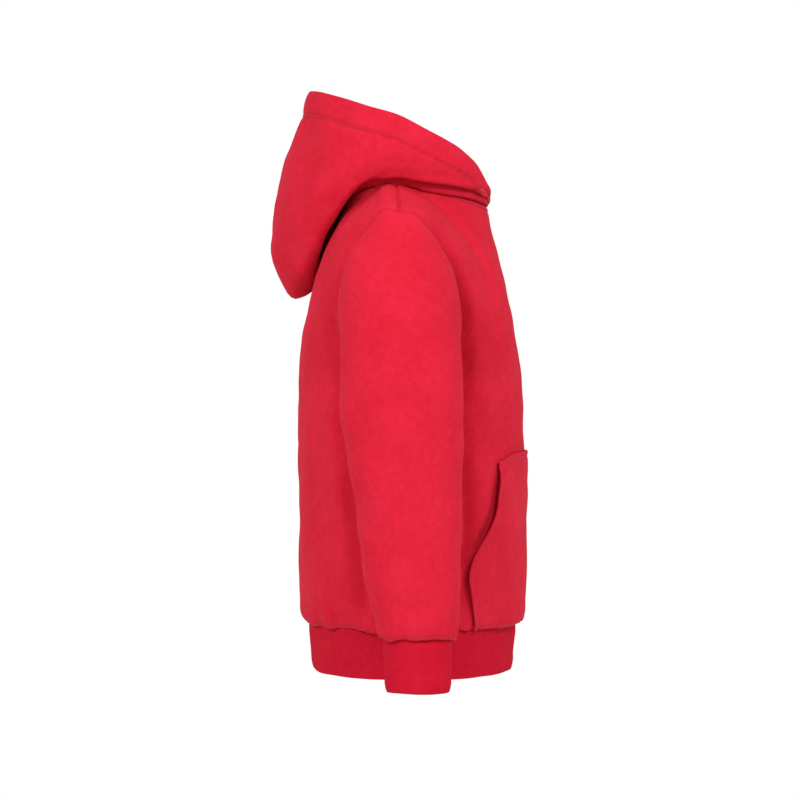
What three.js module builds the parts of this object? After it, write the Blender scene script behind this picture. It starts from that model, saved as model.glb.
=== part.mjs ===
// A child's pullover hoodie, filled out as if worn, with its hood down behind.
// Millimetres, +Z up. The front faces -Y and the wearer's right side is -X.
// The origin is where it hangs on the wearer: on the centre plane, level with the
// shoulders' high points, in the plane of the two shoulder seams.
import * as THREE from 'three';

// Cloth
const SEAM_GAP = 0.3; // sewn pieces are parted by this much
const STITCH_GRID = 20; // to the millimetre: edge points that share a step are sewn
const FLEECE = 2.2; // brushed sweatshirt fleece
const POCKET_CLOTH = 2.4; // fleece with its edges turned under
const RIB = 2.8; // rib knit, folded double
const HOOD_HEM = 3.2; // two layers at the hood's turned edge
const HOOD_HEM_RISE = 0.5; // the turned edge stands out from the hood by this much
const HOOD_HEM_WIDTH = 26;
const RED = 0xe23444;
const RIB_RED = 0xd82f40;

// Grid of a body panel: columns from the centre out, and rows above the armpits
const NECK_COLUMNS = 6;
const SHOULDER_COLUMNS = 5;
const HALF_COLUMNS = NECK_COLUMNS + SHOULDER_COLUMNS;
const UPPER_ROWS = 10;
const CAP_ROWS = 8;

// Body, from the hem seam up to the armpits. Front and back are distances from the
// plane of the shoulder seams, half is half the width, seam is how far the side seam
// lies forward, lift is how much higher the row is at the centre front, and pocket is
// the share of the half front that the pocket covers.
const TORSO = [
  { z: -457.5, front: 124.0, back: 94.0, half: 147.0, seam: 12, lift: 0, pocket: 0.672 },
  { z: -450.0, front: 129.2, back: 99.2, half: 151.5, seam: 12, lift: 0, pocket: 0.685 },
  { z: -438.0, front: 132.0, back: 102.2, half: 154.0, seam: 11, lift: 0, pocket: 0.698 },
  { z: -420.0, front: 133.2, back: 103.8, half: 155.2, seam: 11, lift: 0, pocket: 0.710 },
  { z: -400.0, front: 133.8, back: 104.6, half: 155.8, seam: 10, lift: 0, pocket: 0.718 },
  { z: -384.0, front: 134.2, back: 105.2, half: 156.0, seam: 10, lift: 0, pocket: 0.702 },
  { z: -350.0, front: 134.4, back: 105.8, half: 156.2, seam: 9, lift: 2, pocket: 0.604 },
  { z: -315.0, front: 134.0, back: 106.0, half: 156.3, seam: 8, lift: 5, pocket: 0.538 },
  { z: -285.0, front: 132.8, back: 106.0, half: 156.2, seam: 7, lift: 8, pocket: 0.526 },
  { z: -255.0, front: 131.5, back: 105.6, half: 155.8, seam: 6, lift: 4, pocket: 0.530 },
  { z: -227.0, front: 130.3, back: 104.8, half: 154.6, seam: 5, lift: 0, pocket: 0.540 },
  { z: -200.0, front: 129.0, back: 103.0, half: 152.0, seam: 4, lift: 0, pocket: 0.545 },
];
const POCKET_ROWS = 8; // the pocket reaches this many rows up from the hem
const POCKET_FOOT = 0.25; // it starts this share of a row above the hem seam
const SQUARENESS = 2.2; // 2 is an ellipse, more is squarer
const SECTION_STEPS = 60; // straight steps that a quarter of a section is measured in

// Neckline, shoulders and armholes
const NECK = { side: 83, front: 94, back: 52, frontDrop: 19, backDrop: 5 };
const SHOULDER_TIP = { x: 178, y: -1, z: -37 };
const SHOULDER_BOW = 1.2; // above 1 the shoulder falls away faster near its tip
const ARMHOLE = { front: 60, back: 64, bow: 1.6 };
const ARMHOLE_PULL = 2; // how quickly the armhole's bend fades towards the centre

// Direction of the cloth, as rise over run, where it reaches the neck and shoulders
const LEAN = { chest: 0.1, frontNeck: 0.22, backNeck: 0.3, highPoint: 0.3, tip: 0.08 };
const LEAN_TURN = 1.5; // above 1 the neck's lean keeps on longer towards the shoulder

// Sleeve below its cap, and the cuff: centre and half widths of each oval
const SLEEVE = [
  { z: -235, x: 203.0, y: -4.0, halfX: 43.5, halfY: 60.0 },
  { z: -263, x: 204.5, y: -6.8, halfX: 42.8, halfY: 58.2 },
  { z: -292, x: 206.5, y: -8.6, halfX: 42.0, halfY: 56.0 },
  { z: -322, x: 208.5, y: -10.3, halfX: 41.0, halfY: 53.6 },
  { z: -352, x: 210.5, y: -11.8, halfX: 39.5, halfY: 51.2 },
  { z: -381, x: 212.5, y: -13.3, halfX: 38.0, halfY: 48.6 },
  { z: -405, x: 214.0, y: -14.6, halfX: 36.2, halfY: 45.9 },
  { z: -425, x: 215.5, y: -15.7, halfX: 34.4, halfY: 43.4 },
  { z: -440, x: 216.5, y: -16.6, halfX: 32.4, halfY: 41.2 },
  { z: -451, x: 217.4, y: -17.4, halfX: 29.8, halfY: 38.6 },
  { z: -458, x: 218.0, y: -18.2, halfX: 25.0, halfY: 34.0 },
];
const CUFF = [
  { z: -464, x: 218.2, y: -18.8, halfX: 24.6, halfY: 33.4 },
  { z: -485, x: 218.6, y: -19.2, halfX: 23.8, halfY: 32.4 },
  { z: -505, x: 219.0, y: -19.5, halfX: 23.4, halfY: 31.8 },
  { z: -511, x: 219.0, y: -19.6, halfX: 22.0, halfY: 30.4 },
];
const CAP_START = { outArmpit: 0.5, outTip: 0.85, downArmpit: 1.0, downTip: 0.55 };

// Hem band, below the hem seam: how far each ring lies inside the seam
const HEM_BAND = [
  { z: -464, inset: 0.6 },
  { z: -485, inset: 2.4 },
  { z: -501, inset: 3.6 },
  { z: -507, inset: 5.2 },
];

// Rings of the hood, from the neckline out and up: down behind, the fold at the
// bottom, the swell, the slope above it and the edge. Each is a loop through a point
// at the back, one at the side and one in front. The power says how its height runs
// from the back to the side: the higher, the narrower the pouch there.
const HOOD_RINGS = [
  { backY: 84, backZ: -78, sideX: 95, sideY: 10, sideZ: 4, frontY: -97.5, frontZ: -16.5, power: 2.6 },
  { backY: 107, backZ: -115, sideX: 102, sideY: 14, sideZ: 9, frontY: -98.5, frontZ: -14.5, power: 1.5 },
  { backY: 131.5, backZ: -76, sideX: 107, sideY: 12, sideZ: 24, frontY: -98.0, frontZ: -12.5, power: 1.4 },
  { backY: 123, backZ: 12, sideX: 105, sideY: 6, sideZ: 45, frontY: -96.0, frontZ: -11.0, power: 1.3 },
  { backY: 92.5, backZ: 101, sideX: 98, sideY: 0, sideZ: 68, frontY: -92.0, frontZ: -9.0, power: 1.0 },
];
// In front the height falls steadily by this share, and the rest in a late dip
const HOOD_FRONT = { steady: 0.6, dip: 12 };
const HOOD_ROWS = 13; // rows from the neckline to the turned edge
const HOOD_HEM_ROWS = 2;
const HOOD_HEM_SHARE = 0.6; // of the hood's height, where the front is short

// Largest folds: each is a soft trough along a line. Width is the distance from its
// middle to where it has faded away.
const FRONT_FOLDS = [
  { from: [-150, -70, -108], to: [-132, -84, -262], depth: 4.5, width: 38 },
  { from: [150, -72, -112], to: [134, -80, -248], depth: 4.0, width: 36 },
  { from: [-118, -96, -150], to: [-96, -116, -236], depth: 2.4, width: 26 },
  { from: [122, -92, -158], to: [104, -110, -252], depth: 2.2, width: 28 },
];
const BACK_FOLDS = [
  { from: [-150, 64, -122], to: [-128, 86, -292], depth: 4.4, width: 38 },
  { from: [150, 62, -118], to: [126, 88, -276], depth: 4.8, width: 36 },
  { from: [-112, 88, -180], to: [-92, 100, -330], depth: 2.2, width: 30 },
  { from: [100, 92, -200], to: [84, 100, -360], depth: 2.4, width: 30 },
];
const SLEEVE_FOLDS = [
  { from: [-196, -58, -150], to: [-182, -62, -246], depth: 2.0, width: 24 },
  { from: [-188, 58, -160], to: [-182, 52, -262], depth: 1.6, width: 24 },
  { from: [-238, 26, -352], to: [-205, 44, -318], depth: 2.6, width: 22 },
  { from: [-176, 6, -330], to: [-196, 40, -372], depth: 3.2, width: 22 },
  { from: [-176, -20, -356], to: [-196, -58, -392], depth: 2.6, width: 20 },
  { from: [-246, -30, -418], to: [-226, 26, -436], depth: 2.2, width: 18 },
  { from: [-184, -36, -424], to: [-190, 8, -440], depth: 2.2, width: 18 },
];
const HOOD_FOLDS = [
  { from: [-60, 104, 56], to: [-78, 92, -6], depth: 3.0, width: 28 },
  { from: [-22, 126, -8], to: [-48, 112, -70], depth: 2.6, width: 24 },
];

// Puckers where the cloth is gathered onto the ribs: height of the waves, how far up
// they reach, and the waves themselves, each with its count round the garment
const PUCKER = { hem: 1.5, cuff: 1.3, hemReach: 34, cuffReach: 26, sharpness: 2 };
const HEM_WAVES = [{ count: 11, turn: 0.4, share: 0.6 }, { count: 17, turn: 2.1, share: 0.4 }];
const CUFF_WAVES = [{ count: 4, turn: 0.9, share: 0.6 }, { count: 7, turn: 2.6, share: 0.4 }];

const vec = (x, y, z) => new THREE.Vector3(x, y, z);
const lerp = THREE.MathUtils.lerp;

// Cubic curve from one point to another, with a direction at each end
function bend(start, leave, end, arrive, t) {
  const t2 = t * t;
  const t3 = t2 * t;
  return start.clone().multiplyScalar(2 * t3 - 3 * t2 + 1)
    .addScaledVector(leave, t3 - 2 * t2 + t)
    .addScaledVector(end, 3 * t2 - 2 * t3)
    .addScaledVector(arrive, t3 - t2);
}

// Height of the puckers at an angle round the garment and a height above the ribs
function pucker(waves, height, reach, angle, above) {
  const rise = Math.sin(Math.PI * Math.sqrt(Math.min(above / reach, 1))) ** PUCKER.sharpness;
  const wave = waves.reduce((sum, w) => sum + w.share * Math.sin(w.count * angle + w.turn), 0);
  return height * rise * wave;
}

// Point on a body section, a share of the way round from the centre to the side seam.
// Side is -1 on the wearer's right, and face is -1 in front and 1 behind.
function sectionPoint(row, face, side, share) {
  const depth = face < 0 ? row.front - row.seam : row.back + row.seam;
  const outline = [];
  for (let s = 0; s <= SECTION_STEPS; s++) {
    const angle = (Math.PI / 2) * (s / SECTION_STEPS);
    const x = row.half * Math.sin(angle) ** (2 / SQUARENESS);
    const y = face * depth * Math.max(Math.cos(angle), 0) ** (2 / SQUARENESS) - row.seam;
    outline.push(vec(x, y, row.z));
  }
  const along = [0];
  for (let s = 1; s <= SECTION_STEPS; s++) {
    along.push(along[s - 1] + outline[s].distanceTo(outline[s - 1]));
  }
  const target = share * along[SECTION_STEPS];
  const next = along.findIndex((length) => length > target);
  const s = next < 0 ? SECTION_STEPS : next;
  const point = outline[s - 1].clone()
    .lerp(outline[s], (target - along[s - 1]) / (along[s] - along[s - 1]));
  const angle = Math.atan2(point.y + row.seam, point.x * side);
  const swell = pucker(HEM_WAVES, PUCKER.hem, PUCKER.hemReach, angle, row.z - TORSO[0].z);
  const spread = 1 + swell / point.clone().setZ(0).length();
  const lift = face < 0 ? row.lift * Math.cos((Math.PI / 2) * share) : 0;
  return vec(point.x * spread * side, point.y * spread, row.z + lift);
}

// Share of the half panel at a column, with one column along the pocket's edge
function columnShare(row, face, column) {
  const edge = face < 0 ? row.pocket : NECK_COLUMNS / HALF_COLUMNS;
  return column <= NECK_COLUMNS
    ? edge * (column / NECK_COLUMNS)
    : edge + (1 - edge) * ((column - NECK_COLUMNS) / SHOULDER_COLUMNS);
}

// Point on the neckline: turn is 0 at the centre and a quarter turn at the shoulder
function neckPoint(face, side, turn) {
  const reach = face < 0 ? NECK.front : NECK.back;
  const drop = face < 0 ? NECK.frontDrop : NECK.backDrop;
  const along = Math.max(Math.cos(turn), 0) ** (2 / SQUARENESS);
  return vec(side * NECK.side * Math.sin(turn) ** (2 / SQUARENESS), face * reach * along, -drop * along);
}

// Top edge of a half panel: round the neck, then out along the shoulder
function topPoint(face, side, column) {
  if (column <= NECK_COLUMNS) return neckPoint(face, side, (Math.PI / 2) * (column / NECK_COLUMNS));
  const out = (column - NECK_COLUMNS) / SHOULDER_COLUMNS;
  const x = lerp(NECK.side, SHOULDER_TIP.x, out);
  return vec(side * x, SHOULDER_TIP.y * out, SHOULDER_TIP.z * out ** SHOULDER_BOW);
}

// Direction in which the cloth arrives at the top edge
function topDirection(face, column) {
  if (column <= NECK_COLUMNS) {
    const turn = (column / NECK_COLUMNS) ** LEAN_TURN;
    const neckLean = face < 0 ? LEAN.frontNeck : LEAN.backNeck;
    return vec(0, -face * lerp(neckLean, 1, turn), lerp(1, LEAN.highPoint, turn)).normalize();
  }
  const out = (column - NECK_COLUMNS) / SHOULDER_COLUMNS;
  return vec(0, -face, lerp(LEAN.highPoint, LEAN.tip, out)).normalize();
}

// Armhole, from the armpit up to the shoulder tip
function armholePoint(face, side, t) {
  const armpit = sectionPoint(TORSO.at(-1), face, side, 1);
  const bulge = face < 0 ? ARMHOLE.front : ARMHOLE.back;
  const climb = (1 - Math.cos(Math.PI * t)) / 2;
  const x = lerp(Math.abs(armpit.x), SHOULDER_TIP.x, climb ** ARMHOLE.bow);
  const y = lerp(armpit.y, SHOULDER_TIP.y, climb) + face * bulge * Math.sin(Math.PI * t);
  return vec(side * x, y, lerp(armpit.z, SHOULDER_TIP.z, climb));
}

// Point above the armpits: a column of cloth that bends from the chest to the top
// edge, and is drawn towards the armhole the nearer it is to it
function upperPoint(face, side, column, t) {
  const chest = TORSO.at(-1);
  const columnAt = (c) => {
    const start = sectionPoint(chest, face, side, columnShare(chest, face, c));
    const end = topPoint(face, side, c);
    const reach = start.distanceTo(end);
    const lean = face < 0 ? LEAN.chest * (1 - c / HALF_COLUMNS) : 0;
    const leave = vec(0, lean, 1).multiplyScalar(reach);
    return bend(start, leave, end, topDirection(face, c).multiplyScalar(reach), t);
  };
  const pull = armholePoint(face, side, t).sub(columnAt(HALF_COLUMNS));
  return columnAt(column).addScaledVector(pull, (column / HALF_COLUMNS) ** ARMHOLE_PULL);
}

// A panel of the body, from side seam to side seam and from the hem up
function bodyPoints(face) {
  const rows = [];
  const columns = [];
  for (let c = -HALF_COLUMNS; c <= HALF_COLUMNS; c++) columns.push(face < 0 ? c : -c);
  for (const row of TORSO) {
    rows.push(columns.map((c) => {
      return sectionPoint(row, face, Math.sign(c) || 1, columnShare(row, face, Math.abs(c)));
    }));
  }
  for (let j = 1; j <= UPPER_ROWS; j++) {
    rows.push(columns.map((c) => upperPoint(face, Math.sign(c) || 1, Math.abs(c), j / UPPER_ROWS)));
  }
  return rows;
}

// One ring of the right sleeve or cuff, from the body side round by the front
function armRing(row, count) {
  const ring = [];
  for (let k = 0; k < count; k++) {
    const angle = (2 * Math.PI * k) / count;
    const above = row.z - SLEEVE.at(-1).z;
    const swell = above > 0 ? pucker(CUFF_WAVES, PUCKER.cuff, PUCKER.cuffReach, angle, above) : 0;
    const x = row.x - (row.halfX + swell) * Math.cos(angle);
    ring.push(vec(-x, row.y - (row.halfY + swell) * Math.sin(angle), row.z));
  }
  return ring;
}

// The right sleeve, from the armhole down to the cuff seam
function sleevePoints(front, back) {
  const first = TORSO.length - 1;
  const ring = [];
  for (let j = 0; j <= UPPER_ROWS; j++) ring.push(front.points[first + j][0]);
  for (let j = UPPER_ROWS - 1; j > 0; j--) ring.push(back.points[first + j].at(-1));
  const arm = armRing(SLEEVE[0], ring.length);
  const rows = [ring.map((p) => p.clone())];
  for (let j = 1; j <= CAP_ROWS; j++) {
    rows.push(ring.map((start, k) => {
      const top = (1 - Math.cos((2 * Math.PI * k) / ring.length)) / 2;
      const reach = start.distanceTo(arm[k]);
      const out = lerp(CAP_START.outArmpit, CAP_START.outTip, top);
      const down = lerp(CAP_START.downArmpit, CAP_START.downTip, top);
      const leave = vec(-out, 0, -down).multiplyScalar(reach);
      return bend(start, leave, arm[k], vec(0, 0, -reach), j / CAP_ROWS);
    }));
  }
  for (const row of SLEEVE.slice(1)) rows.push(armRing(row, ring.length));
  return rows;
}

// Point of a hood ring: column 0 is the centre back and the last the centre front
function hoodRingPoint(ring, column) {
  const quarter = (Math.PI / 2) * (column / NECK_COLUMNS);
  if (column <= NECK_COLUMNS) {
    const back = Math.max(Math.cos(quarter), 0);
    const y = lerp(ring.sideY, ring.backY, back ** (2 / SQUARENESS));
    return vec(-ring.sideX * Math.sin(quarter) ** (2 / SQUARENESS), y,
      lerp(ring.sideZ, ring.backZ, back ** ring.power));
  }
  const side = Math.max(Math.sin(quarter), 0) ** (2 / SQUARENESS);
  const front = Math.abs(Math.cos(quarter)) ** (2 / SQUARENESS);
  const fall = lerp(front ** HOOD_FRONT.dip, front, HOOD_FRONT.steady);
  return vec(-ring.sideX * side, lerp(ring.sideY, ring.frontY, front), lerp(ring.sideZ, ring.frontZ, fall));
}

// The right half of the hood, from the neckline to its edge
function hoodPoints(front, back) {
  const neck = [];
  for (let c = 0; c <= NECK_COLUMNS; c++) neck.push(back.points.at(-1)[HALF_COLUMNS + c]);
  for (let c = NECK_COLUMNS - 1; c >= 0; c--) neck.push(front.points.at(-1)[HALF_COLUMNS - c]);
  const curves = neck.map((start, column) => {
    const rest = HOOD_RINGS.map((ring) => hoodRingPoint(ring, column));
    return new THREE.CatmullRomCurve3([start.clone(), ...rest], false, 'centripetal');
  });
  const rows = [];
  for (let j = 0; j <= HOOD_ROWS + HOOD_HEM_ROWS; j++) {
    rows.push(curves.map((curve) => {
      const length = curve.getLength();
      const hem = Math.min(HOOD_HEM_WIDTH, HOOD_HEM_SHARE * length) / length;
      const share = j <= HOOD_ROWS
        ? (1 - hem) * (j / HOOD_ROWS)
        : 1 - hem * (1 - (j - HOOD_ROWS) / HOOD_HEM_ROWS);
      return curve.getPointAt(share);
    }));
  }
  return rows;
}

// A panel is a grid of outer points, whose columns times rows face out of the cloth
function makePanel(name, points, { closed = false, wall = () => FLEECE, color = RED } = {}) {
  const panel = { name, points, closed, wall, color, parting: new Map() };
  panel.normals = findNormals(panel);
  return panel;
}

function findNormals({ points, closed }) {
  const last = points[0].length - 1;
  const step = (i, by) => (closed ? (i + by + last + 1) % (last + 1) : Math.min(Math.max(i + by, 0), last));
  return points.map((row, j) => row.map((point, i) => {
    const across = row[step(i, 1)].clone().sub(row[step(i, -1)]);
    const below = points[Math.max(j - 1, 0)][i];
    const above = points[Math.min(j + 1, points.length - 1)][i];
    return across.cross(above.clone().sub(below)).normalize();
  }));
}

function isEdge({ points, closed }, i, j) {
  return j === 0 || j === points.length - 1 || (!closed && (i === 0 || i === points[0].length - 1));
}

// Press the folds into a panel and leave its edges where they are
function pressFolds(panel, folds) {
  const moved = panel.points.map((row, j) => row.map((point, i) => {
    if (isEdge(panel, i, j)) return point;
    let depth = 0;
    for (const fold of folds) {
      const line = new THREE.Line3(vec(...fold.from), vec(...fold.to));
      const nearest = line.closestPointToPoint(point, true, vec(0, 0, 0));
      const away = Math.min(nearest.distanceTo(point) / fold.width, 1);
      depth += fold.depth * (1 + Math.cos(Math.PI * away)) / 2;
    }
    return point.clone().addScaledVector(panel.normals[j][i], -depth);
  }));
  return makePanel(panel.name, moved, panel);
}

function mirrorPanel(panel, name) {
  const points = panel.points.map((row) => {
    const flipped = row.map((p) => vec(-p.x, p.y, p.z)).reverse();
    return panel.closed ? [flipped.at(-1), ...flipped.slice(0, -1)] : flipped;
  });
  return makePanel(name, points, panel);
}

// Sew the panels: edges that share a point share a mitre with those that face the
// same way, and each draws back so that a seam gap stays between them
function sew(panels) {
  const stitches = new Map();
  for (const panel of panels) {
    panel.points.forEach((row, j) => row.forEach((point, i) => {
      if (!isEdge(panel, i, j)) return;
      const place = point.toArray().map((value) => Math.round(value * STITCH_GRID) + 0).join();
      if (!stitches.has(place)) stitches.set(place, []);
      stitches.get(place).push({ panel, i, j });
    }));
  }
  for (const group of stitches.values()) {
    if (new Set(group.map((g) => g.panel)).size < 2) continue;
    const faced = group.map(({ panel, i, j }) => panel.normals[j][i].clone());
    const mean = faced.reduce((sum, normal) => sum.add(normal), vec(0, 0, 0));
    const facing = 1 - mean.length() / group.length;
    group.forEach(({ panel, i, j }, k) => {
      const last = { i: panel.points[0].length - 1, j: panel.points.length - 1 };
      const di = panel.closed ? 0 : (i === 0 ? 1 : 0) - (i === last.i ? 1 : 0);
      const dj = (j === 0 ? 1 : 0) - (j === last.j ? 1 : 0);
      const inside = panel.points[j + dj][i + di].clone().sub(panel.points[j][i]);
      const corner = di !== 0 && dj !== 0 ? Math.SQRT2 : 1;
      const parting = inside.setLength(corner * SEAM_GAP / 2)
        .addScaledVector(faced[k], -SEAM_GAP * facing);
      panel.parting.set(`${i},${j}`, parting);
      panel.normals[j][i] = faced.filter((normal) => normal.dot(faced[k]) > 0)
        .reduce((sum, normal) => sum.add(normal), vec(0, 0, 0)).normalize();
    });
  }
}

// Wall of cloth behind a panel's outer points, closed by rims along its edges
function wallGeometry(panel) {
  const { points, normals, closed, wall, parting } = panel;
  const rows = points.length;
  const columns = points[0].length;
  const positions = [];
  for (const layer of [0, 1]) {
    points.forEach((row, j) => row.forEach((point, i) => {
      const place = point.clone().addScaledVector(normals[j][i], -layer * wall(j));
      if (parting.has(`${i},${j}`)) place.add(parting.get(`${i},${j}`));
      positions.push(...place.toArray());
    }));
  }
  const at = (layer, i, j) => (layer * rows + j) * columns + (i % columns);
  const faces = [];
  const quad = (a, b, c, d) => faces.push(a, b, c, a, c, d);
  const cells = closed ? columns : columns - 1;
  for (let j = 0; j < rows - 1; j++) {
    for (let i = 0; i < cells; i++) {
      quad(at(0, i, j), at(0, i + 1, j), at(0, i + 1, j + 1), at(0, i, j + 1));
      quad(at(1, i, j), at(1, i, j + 1), at(1, i + 1, j + 1), at(1, i + 1, j));
    }
    if (!closed) {
      const end = columns - 1;
      quad(at(0, 0, j), at(0, 0, j + 1), at(1, 0, j + 1), at(1, 0, j));
      quad(at(0, end, j), at(1, end, j), at(1, end, j + 1), at(0, end, j + 1));
    }
  }
  for (let i = 0; i < cells; i++) {
    const top = rows - 1;
    quad(at(0, i, 0), at(1, i, 0), at(1, i + 1, 0), at(0, i + 1, 0));
    quad(at(0, i, top), at(0, i + 1, top), at(1, i + 1, top), at(1, i, top));
  }
  const geometry = new THREE.BufferGeometry();
  geometry.setAttribute('position', new THREE.Float32BufferAttribute(positions, 3));
  geometry.setIndex(faces);
  return geometry;
}

// The pocket lies on the front, made from its points and moved out
function makePocket(front) {
  const start = HALF_COLUMNS - NECK_COLUMNS;
  const end = HALF_COLUMNS + NECK_COLUMNS + 1;
  const normals = front.normals.slice(0, POCKET_ROWS + 1).map((row) => row.slice(start, end));
  const rows = front.points.slice(0, POCKET_ROWS + 1).map((row) => row.slice(start, end));
  rows[0] = rows[0].map((point, i) => point.clone().lerp(rows[1][i], POCKET_FOOT));
  const points = rows.map((row, j) => row.map((point, i) => {
    return point.clone().addScaledVector(normals[j][i], SEAM_GAP + POCKET_CLOTH);
  }));
  const pocket = makePanel('kangaroo_pocket', points, { wall: () => POCKET_CLOTH });
  pocket.normals = normals;
  return pocket;
}

// Rib bands hang from the ring of points that they are sewn to, and are given upwards
function hemBandPoints(front, back) {
  const seam = [...front.points[0].slice(0, -1), ...back.points[0].slice(0, -1)];
  const rows = [...HEM_BAND].reverse().map((band) => seam.map((point) => {
    const flat = vec(point.x, point.y, 0);
    const inset = flat.clone().setLength(flat.length() - band.inset);
    return vec(inset.x, inset.y, band.z);
  }));
  return [...rows, seam.map((p) => p.clone())];
}

function cuffPoints(sleeve) {
  const seam = sleeve.points.at(-1).map((p) => p.clone());
  return [seam, ...CUFF.map((row) => armRing(row, seam.length))];
}

function makeGarment() {
  const front = pressFolds(makePanel('front_body', bodyPoints(-1)), FRONT_FOLDS);
  const back = pressFolds(makePanel('back_body', bodyPoints(1)), BACK_FOLDS);
  const sleeve = pressFolds(makePanel('sleeve_right', sleevePoints(front, back), { closed: true }),
    SLEEVE_FOLDS);
  const rib = { closed: true, wall: () => RIB, color: RIB_RED };
  const cuff = makePanel('cuff_right', cuffPoints(sleeve), rib);
  const hoodWall = (j) => (j > HOOD_ROWS ? HOOD_HEM : FLEECE);
  const hood = pressFolds(makePanel('hood_right', hoodPoints(front, back), { wall: hoodWall }), HOOD_FOLDS);
  hood.points.forEach((row, j) => row.forEach((point, i) => {
    if (j > HOOD_ROWS) point.addScaledVector(hood.normals[j][i].clone().setX(0), HOOD_HEM_RISE);
  }));
  const hem = makePanel('hem_band', hemBandPoints(front, back), rib);
  const panels = [
    front, back, sleeve, cuff, hood, hem,
    mirrorPanel(sleeve, 'sleeve_left'),
    mirrorPanel(cuff, 'cuff_left'),
    mirrorPanel(hood, 'hood_left'),
  ];
  sew(panels);
  panels.push(makePocket(front));
  const garment = new THREE.Group();
  for (const panel of panels) {
    const finish = new THREE.MeshStandardMaterial({ color: panel.color, roughness: 0.9, metalness: 0 });
    const mesh = new THREE.Mesh(wallGeometry(panel), finish);
    mesh.name = panel.name;
    garment.add(mesh);
  }
  return garment;
}

export default makeGarment();
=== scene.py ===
# %% [markdown]
# # Dressing a child's hoodie
#
# The frame is a CAD model of a red pullover hoodie, filled out as if worn, with its
# hood down behind. Every piece that a maker would cut is a node of its own. This
# notebook gives each of them real cloth: a smooth wall with soft folds, rolled
# seams, rows of stitching, ribs and a knitted surface.
#
# Blender and the CAD model share one frame, in metres: the front faces -Y and the
# wearer's right side is -X. So nothing has to be fitted afterwards.

import math

import bmesh
import bpy
import numpy as np
from mathutils import Matrix, Vector


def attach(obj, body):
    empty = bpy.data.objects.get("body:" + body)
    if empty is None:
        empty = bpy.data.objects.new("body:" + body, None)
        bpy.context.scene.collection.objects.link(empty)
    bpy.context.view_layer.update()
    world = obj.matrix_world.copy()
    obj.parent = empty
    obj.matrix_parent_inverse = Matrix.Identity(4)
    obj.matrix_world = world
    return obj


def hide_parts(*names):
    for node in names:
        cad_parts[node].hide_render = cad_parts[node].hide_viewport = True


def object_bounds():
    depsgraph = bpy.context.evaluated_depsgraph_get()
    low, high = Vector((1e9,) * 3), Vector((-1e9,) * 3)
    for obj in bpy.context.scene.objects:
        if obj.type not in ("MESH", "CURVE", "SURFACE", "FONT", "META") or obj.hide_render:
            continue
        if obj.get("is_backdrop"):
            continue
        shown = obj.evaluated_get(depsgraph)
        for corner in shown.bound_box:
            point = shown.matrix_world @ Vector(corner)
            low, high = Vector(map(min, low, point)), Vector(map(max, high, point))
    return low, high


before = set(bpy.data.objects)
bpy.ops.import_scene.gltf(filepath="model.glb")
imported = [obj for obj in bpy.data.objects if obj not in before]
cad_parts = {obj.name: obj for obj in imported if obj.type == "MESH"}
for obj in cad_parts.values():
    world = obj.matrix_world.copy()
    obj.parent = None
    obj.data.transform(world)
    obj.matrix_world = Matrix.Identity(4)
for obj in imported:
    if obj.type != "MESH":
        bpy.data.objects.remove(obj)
cad_low, cad_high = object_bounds()
MM = 0.001
print("CAD box, mm:", [round((b - a) / MM) for a, b in zip(cad_low, cad_high)])

# %% [markdown]
# ## The camera
#
# The photograph was taken from far away with a long lens, level with the chest and
# square to the wearer's right side. Such a view is nearly flat: far and near edges
# of the hem almost line up. A lens of 122 mm at 2.87 m gives that, where a short
# lens would make the near sleeve look too big.

# %% Place the camera
CAMERA_PLACE = Vector((-2.870, -0.002, -0.224))
camera_data = bpy.data.cameras.new("camera")
camera_data.lens = 121.9
camera_data.sensor_width = 36
camera = bpy.data.objects.new("camera", camera_data)
camera.location = CAMERA_PLACE
camera.rotation_euler = (math.radians(90), 0, math.radians(-90))
bpy.context.scene.collection.objects.link(camera)
bpy.context.scene.camera = camera
print("camera is", round(CAMERA_PLACE.length, 2), "m away")

# %% [markdown]
# ## Reading a CAD wall
#
# A node is a closed wall of cloth, drawn in triangles. Its outer face is a regular
# net whose cells are all split along the same diagonal. Such a net can be read like
# a street map: where two triangles share the edge p to q, and the first one's third
# corner is r, the second one's third corner is at p + q - r. A few corners would be
# enough to copy by hand, but this way the cloth follows the frame by itself.


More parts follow.
